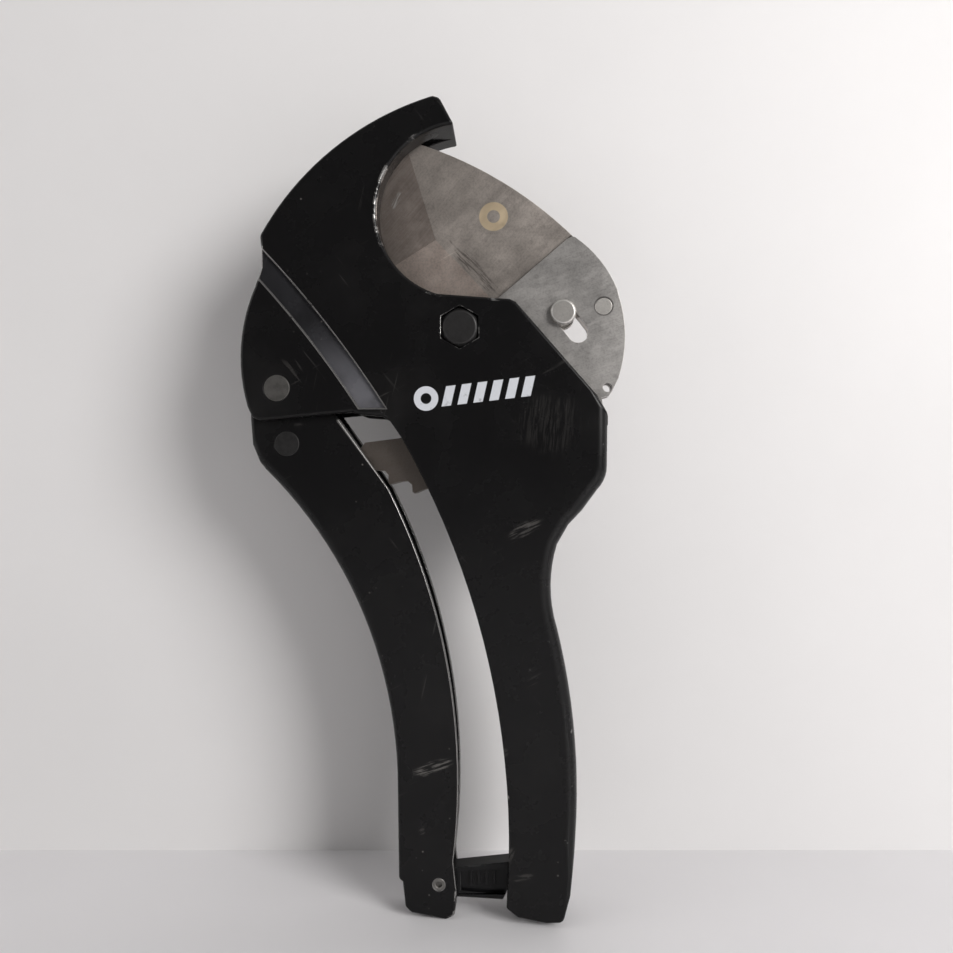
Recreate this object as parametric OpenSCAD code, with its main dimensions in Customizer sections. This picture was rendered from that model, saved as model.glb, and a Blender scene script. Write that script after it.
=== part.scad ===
// Ratcheting pipe cutter, drawn closed and latched, in millimetres.
// The plan lies in the XZ plane, with X to the right, Z up and the thickness along Y.
// The origin is the centre of the seated pipe, midway between the two cheeks.
// Plan points are written for a 60.3 mm pipe and a 140 mm grip, and plan() fits them to the sizes below.

/* [Overall] */
// Outside diameter of the largest pipe that the jaw seats
pipe_d = 60.3; // [50:0.1:73]
// Length of the grips below the head
grip_len = 140; // [115:1:170]
// Gap between the pipe and the jaw's seat
seat_clear = 0.3; // [0.1:0.1:0.6]

/* [Casting] */
// Wall of each cheek
cheek_t = 3; // [2.8:0.1:4]
// Wall along the back of the head and the fixed handle
spine_t = 5; // [4:0.5:6.5]
// Wall between the pipe seat and the hollow head
seat_wall = 3.5; // [2.5:0.1:4]
// Width of the blade slot in the jaw
slot_w = 5; // [4:0.1:6]
// Depth of the diagonal groove in each cheek
groove_d = 1.2; // [0.5:0.1:1.6]
// Width of the diagonal groove
groove_w = 8; // [6:0.5:9]

/* [Blade] */
// Thickness of the blade
blade_t = 3; // [2.4:0.1:3.6]
// Width of the ground bevel
bevel_w = 20; // [16:0.5:22]
// Thickness left at the cutting edge
edge_t = 0.3; // [0.1:0.05:0.5]

/* [Ratchet] */
// Thickness of each carrier plate
plate_t = 2.5; // [2:0.1:3]
// Number of ratchet teeth
tooth_count = 10; // [8:1:10]
// Angle from tooth to tooth, in degrees
tooth_pitch = 9; // [8:0.5:9]
// Height of the ratchet teeth
tooth_h = 3.5; // [2.5:0.1:4]
// Gap between the pawl noses and the tooth tips
pawl_clear = 0.4; // [0.3:0.05:0.8]
// Gap between a pawl's side and the wall beside it
pawl_side = 0.3; // [0.2:0.05:0.5]
// Room beside each pawl for its spring
pawl_spring_w = 2; // [1.8:0.1:2.4]

/* [Moving handle] */
// Side wall of the handle channel
handle_wall = 2.5; // [2:0.1:3]
// Web along the outer edge of the handle
web_t = 4; // [3:0.5:5]
// Gap between the handle walls and the carrier plates
side_gap = 0.2; // [0.15:0.05:0.4]
// Gap between each cheek and the handle
cheek_gap = 0.3; // [0.2:0.05:0.6]
// How far the handle opens, in degrees
handle_open = 35; // [20:1:35]

/* [Pivot] */
// Diameter of the pivot bolt
bolt_d = 8; // [6:0.5:9]
// Bolt head across its flats
bolt_af = 12.8; // [11:0.1:14]
// Height of the low bolt head and of the nut
head_h = 3.1; // [2.6:0.1:3.1]
// Wall of the sleeve on the bolt
sleeve_wall = 1.4; // [1:0.1:1.8]
// Radial gap of every running fit
run_fit = 0.05; // [0.03:0.01:0.08]
// Thickness of the thrust washers
washer_t = 0.8; // [0.5:0.1:1.2]

/* [Rivets and pins] */
// Shank of the handle rivet
handle_rivet_d = 6.4; // [5:0.1:7]
// Head of the handle rivet
handle_rivet_head = 9.4; // [8.6:0.1:10]
// Shank of the pawl rivet
pawl_rivet_d = 6; // [5:0.1:6.5]
// Head of the pawl rivet
pawl_rivet_head = 9; // [8:0.1:9.5]
// Thickness of every rivet head
rivet_head_t = 1.4; // [1:0.1:1.6]
// Shank of the carrier rivets
carrier_rivet_d = 6; // [4:0.1:7]
// Head of the lock stud
stud_head_d = 9.1; // [8.8:0.1:10]
// Shank of the lock stud
stud_d = 7; // [6:0.1:7.4]
// Thickness of the stud's heads
stud_head_t = 2.1; // [1.2:0.1:2.4]
// Latch pin
latch_pin_d = 4.4; // [3.5:0.1:5]
// Catch pin that the latch hooks
catch_pin_d = 4; // [3:0.1:4.5]
// Holding pawl pin
hold_pin_d = 5; // [4:0.1:6]

/* [Latch] */
// Thickness of the latch
latch_t = 6.6; // [5:0.1:7.4]
// Side recess in the latch
latch_recess = 1.2; // [0.6:0.1:1.8]

/* [Hidden] */
$fn = 64;

// Colours
BLACK = [0.07, 0.07, 0.075];
STEEL = [0.55, 0.54, 0.52];
BRIGHT = [0.62, 0.62, 0.61];
DARK = [0.2, 0.19, 0.18];

// Plan scale and grip stretch
seat_r = pipe_d / 2 + seat_clear;
k = seat_r / 30.45;
grip_top = -105;
stretch = grip_len / 140;
function plan(p) = k * [p[0], p[1] > grip_top ? p[1] : grip_top + (p[1] - grip_top) * stretch];
function plans(pts) = [for (p = pts) plan(p)];

// Layers through the thickness, each as half of its width
blade_h = blade_t / 2;
stack_h = blade_h + plate_t;
channel_h = stack_h + side_gap;
handle_h = channel_h + handle_wall;
room_h = handle_h + cheek_gap;
body_h = room_h + cheek_t;
washer_gap = 0.1;
boss_h = stack_h + washer_t + 2 * washer_gap;
skin = 0.1;
cut = 1;

// Places of the pivots
PIVOT = plan([-1, -41]);
HANDLE = plan([-66, -62]);
PAWL = plan([-63.3, -81.6]);
HOLD = plan([12, -112]);
LATCH = plan([-8.6, -237.9]);
CATCH = plan([24, -239.5]);
SHELF = plan([15.6, -239]);
STUD = plan([35.3, -35.2]);
SLOT_END = plan([40.7, -42.1]);
RIVETS = [plan([49.7, -33]), plan([18, -80]), plan([-12, -84])];

// Sizes that follow
sleeve_r = bolt_d / 2 + 2 * run_fit + sleeve_wall;
hub_r = 8 * k;
boss_r = 9.9 * k;
tip_r = 60.8 * k;
root_r = tip_r - tooth_h;
first_tip = -123.8;
sweep_r = tip_r + 0.8;
blade_r = 70 * k;
eye_r = 11 * k;
handle_sleeve_r = handle_rivet_d / 2 + 1.5;
handle_wire = 1.4;
handle_coil_r = handle_sleeve_r + 0.9 * handle_wire;
pawl_h = channel_h - pawl_side;
pawl_top = pawl_h - pawl_spring_w;
pawl_wire = 0.6;
stud_slot_w = stud_d + 0.5;
bottom_t = 3;
latch_h = latch_t / 2;
hook_drop = 2.5;

// A point at a radius and an angle from a centre
function polar(c, r, a) = c + r * [cos(a), sin(a)];
// Points along an arc from angle a to angle b
function arc(c, r, a, b, n = 12) = [for (i = [0:n]) polar(c, r, a + (b - a) * i / n)];
// The unit direction from p to q, and its left-hand normal
function unit(v) = v / norm(v);
function left(v) = [-v[1], v[0]];
// A path moved sideways by d, to its left when d is positive, and a vector turned by a
function shifted(pts, d) = [for (i = [0:len(pts) - 1])
    pts[i] + d * left(unit(pts[min(i + 1, len(pts) - 1)] - pts[max(i - 1, 0)]))];
function turn(v, a) = [v[0] * cos(a) - v[1] * sin(a), v[0] * sin(a) + v[1] * cos(a)];
function reversed(v) = [for (i = [len(v) - 1:-1:0]) v[i]];

// A plan shape given a thickness from y0 to y1
module slab(y0, y1) {
    translate([0, y1, 0]) rotate([90, 0, 0]) linear_extrude(y1 - y0) children();
}
// A round bar along Y at plan point p
module bar(p, d, y0, y1) {
    translate([p[0], y1, p[1]]) rotate([90, 0, 0]) cylinder(d = d, h = y1 - y0);
}
// A hexagonal bar along Y with two flats upright
module hex_bar(p, af, y0, y1) {
    translate([p[0], y1, p[1]]) rotate([90, 0, 0]) rotate([0, 0, 30])
        cylinder(d = af / cos(30), h = y1 - y0, $fn = 6);
}
module disc(p, r) {
    translate(p) circle(r = r);
}
// A pie slice about a centre
module pie(c, r, a, b) {
    polygon(concat([c], arc(c, r, a, b, 48)));
}
// A round-ended slot between two points
module stadium(p, q, w) {
    side = left(unit(q - p)) * w / 2;
    disc(p, w / 2);
    disc(q, w / 2);
    polygon([p + side, p - side, q - side, q + side]);
}
// A wire swept along a path of 3-D points that lie mostly across Y
function wire_normal(path, i) =
    let (t = unit(path[min(i + 1, len(path) - 1)] - path[max(i - 1, 0)])) unit(cross(t, [0, 1, 0]));
function wire_side(path, i) =
    let (t = unit(path[min(i + 1, len(path) - 1)] - path[max(i - 1, 0)])) cross(t, wire_normal(path, i));
module wire(path, d, sides = 8) {
    n = len(path);
    points = [for (i = [0:n - 1], j = [0:sides - 1]) path[i]
        + d / 2 * (cos(360 * j / sides) * wire_normal(path, i) + sin(360 * j / sides) * wire_side(path, i))];
    walls = [for (i = [0:n - 2], j = [0:sides - 1])
        [i * sides + j, i * sides + (j + 1) % sides, (i + 1) * sides + (j + 1) % sides, (i + 1) * sides + j]];
    polyhedron(points, concat(walls, [[for (j = [sides - 1:-1:0]) j]],
        [[for (j = [0:sides - 1]) (n - 1) * sides + j]]));
}
// A torsion spring about Y at c, with a straight leg from each end of the coil
module torsion_spring(c, r, d, y0, y1, turns, a, leg0, leg1) {
    steps = ceil(turns * 14);
    coil = [for (i = [0:steps]) let (p = polar(c, r, a + 360 * turns * i / steps))
        [p[0], y0 + (y1 - y0) * i / steps, p[1]]];
    start = left(unit(polar([0, 0], 1, a))) * -leg0;
    end = left(unit(polar([0, 0], 1, a + 360 * turns))) * leg1;
    first = coil[0] + [start[0], 0, start[1]];
    last = coil[steps] + [end[0], 0, end[1]];
    wire(concat([first], coil, [last]), d);
}

// ---- Outlines of the casting ----

// Back edge of the head and the fixed handle, from the mouth down to the foot
back_edge = plans(concat(
    [[50.7, -71.5]],
    arc([38.6, -89.5], 12, 0, -45, 5),
    [[41.8, -105.2], [37.1, -110.2]],
    arc([81.2, -131.9], 50.3, 163, 196, 8),
    arc([-198.9, -204], 239, 14, -8.4, 14)));
// Grip edge of the fixed handle, from the foot up to the head
grip_edge = plans(concat(
    [[18.6, -246.4]],
    arc([-270.5, -221.9], 286.7, -4.4, 29.8, 20)));
seat = arc([0, 0], seat_r, 96, 253, 36);

module body_outline() {
    polygon(concat(
        // jaw tip and its long outer curve
        plans(concat([[-8.2, 39.7], [-10.5, 40.4]], arc([16.7, -57.9], 102.1, 106, 150.6, 20))),
        // dip where the groove wraps over the edge, and the rounded shoulder
        plans(concat([[-71.8, -11.6], [-71.7, -19]], arc([-17.5, -50.9], 61.8, 156, 196.5, 12),
            [[-75, -72.3], [-72, -73.6], [-38.9, -70.6], [-36.4, -71.5], [-28.6, -72.1], [-25.6, -73.9]])),
        reversed(grip_edge),
        plans([[19.4, -247], [29.2, -248.7], [35.1, -248.4]]),
        reversed(back_edge),
        plans([[47, -65], [18.6, -32.2], [16.5, -31.2]]),
        reversed(seat)));
}

// Hollow that the carrier and the ratchet swing in
module ratchet_room() {
    difference() {
        pie(PIVOT, sweep_r, 143, 270);
        disc([0, 0], seat_r + seat_wall);
    }
    pie(PIVOT, sweep_r, 270, 403);
    disc(PIVOT, hub_r + 0.6);
    difference() {
        pie(PIVOT, 2 * hub_r, 122, 150);
        disc([0, 0], seat_r + seat_wall);
    }
}
// Hollow for the top of the moving handle, open to the left and below
module handle_room() {
    disc(HANDLE, eye_r + 1);
    polygon([HANDLE + [-40 * k, eye_r * 0.85], HANDLE + [-6 * k, eye_r * 0.85], HANDLE + [12 * k, 0],
        HANDLE + [30 * k, -5 * k], HANDLE + [45 * k, -24 * k], HANDLE + [-40 * k, -24 * k]]);
}
// Channel of the fixed handle, open towards the moving handle
module grip_room() {
    polygon(concat(shifted(back_edge, -spine_t), [plan([33, -246]) + [0, bottom_t]],
        [plan([-30, -246]) + [0, bottom_t], plan([-30, -80])]));
}
// Slot for the blade through the jaw and the floor of the seat
module blade_slot() {
    room = 1.2;
    intersection() {
        disc(PIVOT, blade_r + room);
        polygon(concat(plans([[60, -60], [60, 60], [-12, 60]]),
            [BEVEL_TOP + (bevel_w + room) * NORMAL_1 + 20 * unit(BEVEL_TOP - BEVEL_MID),
            BEVEL_MID + (bevel_w + room) * RIDGE, PIVOT + [-hub_r, -hub_r]]));
    }
}
// Diagonal groove in the face of a cheek
module groove() {
    intersection() {
        difference() {
            disc(plan([-342.7, -270]), 370 * k + groove_w / 2, $fn = 360);
            disc(plan([-342.7, -270]), 370 * k - groove_w / 2, $fn = 360);
        }
        polygon(plans([[-90, 0], [-20, 0], [-20, -69.3], [-90, -69.3]]));
    }
}

module body_casting() {
    color(BLACK) difference() {
        union() {
            difference() {
                slab(-body_h, body_h) body_outline();
                slab(-room_h, room_h) {
                    ratchet_room();
                    handle_room();
                    grip_room();
                }
                slab(-slot_w / 2, slot_w / 2) blade_slot();
            }
            for (y = [-room_h, boss_h]) slab(y, y + room_h - boss_h) disc(PIVOT, boss_r);
        }
        for (side = [-1, 1]) slab(min(side * body_h, side * (body_h - groove_d)) - (side < 0 ? cut : 0),
            max(side * body_h, side * (body_h - groove_d)) + (side > 0 ? cut : 0)) groove();
        bar(PIVOT, bolt_d + 2 * run_fit, -body_h - cut, body_h + cut);
        hex_bar(PIVOT, bolt_af + 0.4, -body_h - cut, -body_h + head_h + skin);
        hex_bar(PIVOT, bolt_af + 0.4, body_h - head_h - skin, body_h + cut);
        bar(HANDLE, handle_rivet_d + 2 * run_fit, -body_h - cut, body_h + cut);
        bar(HANDLE, handle_rivet_head + 2 * run_fit, -body_h - cut, -body_h + rivet_head_t + skin);
        bar(HANDLE, handle_rivet_head + 2 * run_fit, body_h - rivet_head_t - skin, body_h + cut);
        bar(HOLD, hold_pin_d, -room_h - cheek_t / 2, body_h + cut);
        bar(CATCH, catch_pin_d, -room_h - cheek_t / 2, body_h + cut);
    }
}

// ---- Pieces fixed in the casting ----

module pivot_bolt() {
    color(DARK) {
        intersection() {
            hex_bar(PIVOT, bolt_af, -body_h + skin, -body_h + skin + head_h);
            translate([PIVOT[0], -body_h + skin, PIVOT[1]]) rotate([-90, 0, 0])
                cylinder(d1 = bolt_af * 0.89, d2 = bolt_af * 0.89 + 2 * head_h, h = head_h);
        }
        bar(PIVOT, bolt_d, -body_h + skin + head_h - cut, body_h - skin);
    }
}
module pivot_nut() {
    color(DARK) difference() {
        hex_bar(PIVOT, bolt_af, body_h - head_h, body_h - skin);
        bar(PIVOT, bolt_d + 2 * run_fit, 0, body_h + cut);
    }
}
module pivot_sleeve() {
    color(BRIGHT) difference() {
        bar(PIVOT, 2 * sleeve_r, -boss_h, boss_h);
        bar(PIVOT, bolt_d + 2 * run_fit, -body_h, body_h);
    }
}
module thrust_washers() {
    color(BRIGHT) for (y = [-boss_h + washer_gap, stack_h + washer_gap]) difference() {
        bar(PIVOT, 2 * hub_r, y, y + washer_t);
        bar(PIVOT, 2 * sleeve_r + 2 * run_fit, y - cut, y + washer_t + cut);
    }
}
// A rivet with two flush heads
module rivet(p, d, head_d, half) {
    bar(p, d, -half, half);
    bar(p, head_d, -half, -half + rivet_head_t);
    bar(p, head_d, half - rivet_head_t, half);
}
module handle_rivet() {
    color(STEEL) rivet(HANDLE, handle_rivet_d, handle_rivet_head, body_h - skin);
}
module handle_sleeve() {
    color(BRIGHT) difference() {
        bar(HANDLE, 2 * handle_sleeve_r, -room_h, room_h);
        bar(HANDLE, handle_rivet_d + 2 * run_fit, -body_h, body_h);
    }
}
module holding_pawl_pin() {
    color(BRIGHT) bar(HOLD, hold_pin_d, -room_h - cheek_t / 2, body_h - skin);
}
module catch_pin() {
    color(BRIGHT) bar(CATCH, catch_pin_d, -room_h - cheek_t / 2, body_h - skin);
}

// ---- Pawls ----

// Angle of a pawl of length len whose nose lies on the circle just outside the tooth tips
nose_r = tip_r + pawl_clear;
function pawl_angle(p, len) =
    let (d = PIVOT - p, n = norm(d))
    atan2(d[1], d[0]) - acos((n * n + len * len - nose_r * nose_r) / (2 * n * len));
// A pawl with its eye at p and its nose at the end of a tapered arm
module pawl(p, len, eye, pin_r) {
    difference() {
        slab(-pawl_h, pawl_top) translate(p) rotate(pawl_angle(p, len)) polygon(concat(
            arc([0, 0], eye, 90, 270, 20),
            [[0.6 * len, -1.05 * eye], [0.87 * len, -0.85 * eye], [len - 0.1 * eye, -0.35 * eye], [len, 0],
            [0.84 * len, 0.05 * eye], [0.67 * len, 0.26 * eye], [0.34 * len, 0.8 * eye]]));
        bar(p, 2 * (pin_r + run_fit), -body_h, body_h);
    }
}
drive_len = 35.7 * k;
hold_len = 30.4 * k;
module drive_pawl() {
    color(STEEL) pawl(PAWL, drive_len, 6.2 * k, pawl_rivet_d / 2);
}
module holding_pawl() {
    color(STEEL) pawl(HOLD, hold_len, 5.4 * k, hold_pin_d / 2);
}
// The small torsion spring that lies against the side of a pawl
module pawl_coil(p, pin_r, a) {
    torsion_spring(p, pin_r + 1.3 * pawl_wire, pawl_wire, pawl_top + pawl_wire, pawl_h - pawl_wire / 2,
        1.2, a, 4, 6);
}
module pawl_spring() {
    color(BRIGHT) pawl_coil(PAWL, pawl_rivet_d / 2, -60);
}
module holding_pawl_spring() {
    color(BRIGHT) pawl_coil(HOLD, hold_pin_d / 2, 0);
}

// ---- Blade, carrier and ratchet ----

BEVEL_TOP = plan([-19.7, 22.2]);
BEVEL_MID = plan([-10.3, -7.9]);
BEVEL_LOW = plan([9.95, -29.5]);
NORMAL_1 = left(unit(BEVEL_TOP - BEVEL_MID));
NORMAL_2 = left(unit(BEVEL_MID - BEVEL_LOW));
// Direction of the ridge between the two bevel facets, long enough to reach both edges
RIDGE = (NORMAL_1 + NORMAL_2) / (1 + NORMAL_1 * NORMAL_2);

module blade_outline() {
    disc(PIVOT, hub_r + 1);
    intersection() {
        disc(PIVOT, blade_r, $fn = 180);
        polygon(concat(
            plans(arc([-63.3, -110.8], 145.5, 43, 74, 16)),
            [BEVEL_TOP + bevel_w * NORMAL_1 + 20 * unit(BEVEL_TOP - BEVEL_MID),
            BEVEL_MID + bevel_w * RIDGE, PIVOT + [-hub_r * 0.6, -hub_r * 0.2]],
            plans([[5, -47], [46, -47], [54.5, -38], [54.5, -27], [47, -15.6]])));
    }
}
// One ground facet on one face: everything above the slope is taken away
module facet_cut(p, normal, face) {
    reach = bevel_w * 2;
    slope = (blade_h - edge_t / 2) / bevel_w;
    a = atan2(normal[1], normal[0]);
    translate([p[0], 0, p[1]]) rotate([0, -a, 0]) translate([0, 0, -100 * k]) linear_extrude(200 * k)
        polygon([[-cut, face * (blade_h + slope * cut)], [-cut, face * (blade_h + cut)],
            [reach, face * (blade_h + cut)], [reach, face * (blade_h - slope * reach)]]);
}
module blade() {
    color(STEEL) difference() {
        slab(-blade_h, blade_h) blade_outline();
        difference() {
            for (face = [-1, 1]) {
                facet_cut(BEVEL_MID, NORMAL_1, face);
                facet_cut(BEVEL_MID, NORMAL_2, face);
            }
            bar(PIVOT, 2 * (hub_r + 1.9), -body_h, body_h);
        }
        bar(PIVOT, 2 * (sleeve_r + run_fit), -body_h, body_h);
        bar(RIVETS[0], carrier_rivet_d, -body_h, body_h);
        slab(-body_h, body_h) stadium(STUD, SLOT_END, stud_slot_w);
    }
}

// Tooth profile along the rim, from the tail end towards the notch
function tooth(a) = [
    polar(PIVOT, tip_r, a),
    polar(PIVOT, root_r + 0.43 * tooth_h, a + 0.27 * tooth_pitch),
    polar(PIVOT, root_r, a + 0.59 * tooth_pitch),
    polar(PIVOT, root_r + 0.2 * tooth_h, a + 0.79 * tooth_pitch),
    polar(PIVOT, tip_r - 0.12 * tooth_h, a + 0.89 * tooth_pitch)];
rim = [for (i = [0:tooth_count - 1]) for (p = tooth(first_tip + i * tooth_pitch)) p];
rim_end = first_tip + tooth_count * tooth_pitch;

module carrier_outline() {
    difference() {
        polygon(concat(
            arc(PIVOT, hub_r, 212, 40.3, 20),
            [polar(PIVOT, 49.3 * k, 40.3)],
            plans(concat([[38.6, -8.1]], arc([15.3, -43], 42.3, 55, 22, 8),
                arc([9, -43.7], 48.2, 18, -18, 8))),
            [polar(PIVOT, 58 * k, -22.6), polar(PIVOT, 57.6 * k, -24.4), polar(PIVOT, 55.6 * k, -26)],
            [polar(PIVOT, 57 * k, -28), polar(PIVOT, 57 * k, min(rim_end + 1, -30))],
            reversed(rim),
            [polar(PIVOT, root_r + 1, first_tip - 1.2), polar(PIVOT, 59 * k, -130.4),
            polar(PIVOT, 53 * k, -130.8)],
            plans([[-23.4, -79.6], [-12, -77]])));
        disc(polar(PIVOT, 56 * k, -21.8), 1.6 * k);
        stadium(STUD, SLOT_END, stud_slot_w);
    }
}
module carrier_plate(y) {
    color(STEEL) difference() {
        slab(y, y + plate_t) carrier_outline();
        bar(PIVOT, 2 * (sleeve_r + run_fit), -body_h, body_h);
        for (p = RIVETS) bar(p, carrier_rivet_d, -body_h, body_h);
    }
}
module carrier_plate_front() {
    carrier_plate(-stack_h);
}
module carrier_plate_rear() {
    carrier_plate(blade_h);
}
// Toothed plate between the two carrier plates, below the blade's tail
module ratchet_sector() {
    color(DARK) difference() {
        slab(-blade_h, blade_h) intersection() {
            carrier_outline();
            difference() {
                polygon(plans([[-80, -49], [60, -49], [60, -120], [-80, -120]]));
                disc(PIVOT, 31 * k);
            }
        }
        for (p = RIVETS) bar(p, carrier_rivet_d, -body_h, body_h);
    }
}
module carrier_rivets() {
    color(BRIGHT) for (p = RIVETS) bar(p, carrier_rivet_d, -stack_h, stack_h);
}
module lock_stud() {
    color(STEEL) {
        bar(STUD, stud_d, -stack_h - skin, stack_h + skin);
        translate([STUD[0], -stack_h - skin, STUD[1]]) rotate([90, 0, 0])
            rotate_extrude() polygon([[0, 0], [stud_head_d / 2, 0], [stud_head_d / 2, 0.7 * stud_head_t],
                [stud_head_d / 2 - 0.6, stud_head_t], [0, stud_head_t]]);
    }
}
module lock_stud_cap() {
    color(STEEL) bar(STUD, stud_head_d, stack_h + skin, stack_h + skin + stud_head_t);
}

// ---- Moving handle ----

handle_back = concat(
    arc(HANDLE, eye_r, 40, 176, 12),
    plans(concat([[-76.6, -73.5], [-76, -82], [-73.6, -88.2]],
        arc([-183.2, -205.1], 159.7, 45.6, 0, 22), [[-23, -236.4]])));
handle_inner = concat(
    plans(concat([[-2.3, -241]], arc([-231.1, -201.6], 229.3, -7, 27, 20), [[-44.4, -72.7]])));

module handle_outline() {
    polygon(concat(handle_back,
        plans([[-21.6, -237.6], [-20.6, -246.2], [-18.5, -248.2], [-6, -250.3], [-3, -248.8]]),
        handle_inner));
}
module handle_channel() {
    polygon(concat(shifted(handle_back, web_t), [plan([-18, -248.2]) + [0, bottom_t]],
        [plan([30, -248.2]) + [0, bottom_t], plan([30, -60]), HANDLE + [eye_r + 20, 0]]));
    // where the ratchet's rim passes while the handle is closed, half open and open
    for (a = [0, handle_open / 2, handle_open]) disc(HANDLE + turn(PIVOT - HANDLE, a), sweep_r + 0.3);
    disc(HANDLE, handle_coil_r + handle_wire);
}
module moving_handle() {
    color(BLACK) difference() {
        slab(-handle_h, handle_h) handle_outline();
        slab(-channel_h, channel_h) handle_channel();
        bar(HANDLE, 2 * (handle_sleeve_r + run_fit), -body_h, body_h);
        bar(PAWL, pawl_rivet_d, -body_h, body_h);
        bar(PAWL, pawl_rivet_head, -body_h, -handle_h + rivet_head_t);
        bar(PAWL, pawl_rivet_head, handle_h - rivet_head_t, body_h);
        bar(LATCH, latch_pin_d, -body_h, body_h);
    }
}
module pawl_rivet() {
    color(DARK) rivet(PAWL, pawl_rivet_d, pawl_rivet_head, handle_h);
}
module handle_spring() {
    color(BRIGHT) torsion_spring(HANDLE, handle_coil_r, handle_wire, -channel_h + 1, channel_h - 1,
        2.6, 30, 4, 6);
}

// ---- Latch ----

module latch_pin() {
    color(STEEL) difference() {
        bar(LATCH, latch_pin_d, -handle_h, handle_h);
        for (y = [-handle_h - cut, handle_h - 1]) bar(LATCH, latch_pin_d * 0.5, y, y + cut + 1);
    }
}
module latch_outline() {
    nose = CATCH[1] + catch_pin_d / 2 + 0.3;
    hook = CATCH[0] + catch_pin_d / 2 + 0.7;
    polygon([
        LATCH + k * [-4.4, -5.6], SHELF + k * [-1.6, -5.4], SHELF + k * [-0.4, -3],
        [plan([17, 0])[0], nose + hook_drop], [hook, nose + hook_drop], [hook, nose], [hook + 2.6, nose],
        [hook + 4.2, nose + 3], [hook + 4.2, nose + 6], [hook + 2.4, nose + 7.6],
        SHELF + k * [0, 8], LATCH + k * [6, 4.6], LATCH + k * [2, 5], LATCH + k * [-4.4, 3]]);
}
module latch() {
    color(BLACK) difference() {
        slab(-latch_h, latch_h) latch_outline();
        for (y = [-latch_h - cut, latch_h - latch_recess]) slab(y, y + latch_recess + cut)
            polygon([LATCH + k * [7.6, -3.6], SHELF + k * [-1, -3.6],
                SHELF + k * [-1, 5.6], LATCH + k * [7.6, 3.2]]);
        bar(LATCH, latch_pin_d + 2 * run_fit, -body_h, body_h);
    }
}
module latch_spring() {
    color(BRIGHT) torsion_spring(LATCH, latch_pin_d / 2 + 2.6, 0.7, -latch_h - 0.45, -latch_h - 0.45,
        0.6, 130, 3, 3);
}

body_casting();
pivot_bolt();
pivot_nut();
pivot_sleeve();
thrust_washers();
handle_rivet();
handle_sleeve();
holding_pawl_pin();
catch_pin();
holding_pawl();
holding_pawl_spring();
blade();
carrier_plate_front();
carrier_plate_rear();
ratchet_sector();
carrier_rivets();
lock_stud();
lock_stud_cap();
moving_handle();
handle_spring();
pawl_rivet();
drive_pawl();
pawl_spring();
latch();
latch_pin();
latch_spring();
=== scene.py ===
"""Looks of the ratcheting pipe cutter, laid out as a Blender add-on.

Each operator makes one piece, or a group of like pieces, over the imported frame. Sizes and colours are properties.
"""

import math

import bpy
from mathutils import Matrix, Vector


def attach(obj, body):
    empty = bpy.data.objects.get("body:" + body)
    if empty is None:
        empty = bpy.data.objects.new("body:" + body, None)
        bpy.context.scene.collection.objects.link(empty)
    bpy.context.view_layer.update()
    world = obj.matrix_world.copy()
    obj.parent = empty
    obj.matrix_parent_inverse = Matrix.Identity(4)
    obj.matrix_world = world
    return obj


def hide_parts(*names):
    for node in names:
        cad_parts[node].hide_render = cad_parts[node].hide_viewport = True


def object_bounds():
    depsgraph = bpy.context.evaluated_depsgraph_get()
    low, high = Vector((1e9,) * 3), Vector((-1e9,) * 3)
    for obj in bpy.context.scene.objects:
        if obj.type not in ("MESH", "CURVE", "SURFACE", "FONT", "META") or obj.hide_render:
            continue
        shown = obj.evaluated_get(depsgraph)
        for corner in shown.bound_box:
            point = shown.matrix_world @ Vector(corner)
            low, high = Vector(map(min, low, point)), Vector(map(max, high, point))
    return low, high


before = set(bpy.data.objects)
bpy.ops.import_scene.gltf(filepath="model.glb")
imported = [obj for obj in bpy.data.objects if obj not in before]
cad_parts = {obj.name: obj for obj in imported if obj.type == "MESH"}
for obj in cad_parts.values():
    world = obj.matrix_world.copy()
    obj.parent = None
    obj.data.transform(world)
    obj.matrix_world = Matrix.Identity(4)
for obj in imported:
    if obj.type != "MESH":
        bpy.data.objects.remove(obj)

SIZE_AT_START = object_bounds()

bl_info = {
    "name": "Ratcheting pipe cutter",
    "version": (1, 0, 0),
    "blender": (4, 5, 0),
    "location": "3D View > Sidebar > Pipe cutter",
    "description": "Builds the finished looks of a ratcheting pipe cutter over its packed frame",
    "category": "Object",
}

MM = 0.001

# Places in the plan, in millimetres: X to the right and Z up
PIVOT = (-1.0, -41.0)
HANDLE = (-66.0, -62.0)
PAWL = (-63.3, -81.6)
LATCH = (-8.6, -237.9)
STUD = (35.3, -35.2)
HOLD = (12.0, -112.0)
CATCH = (24.0, -239.5)
FACET_LOW = ((-10.3, -7.9), (9.95, -29.5))


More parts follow.
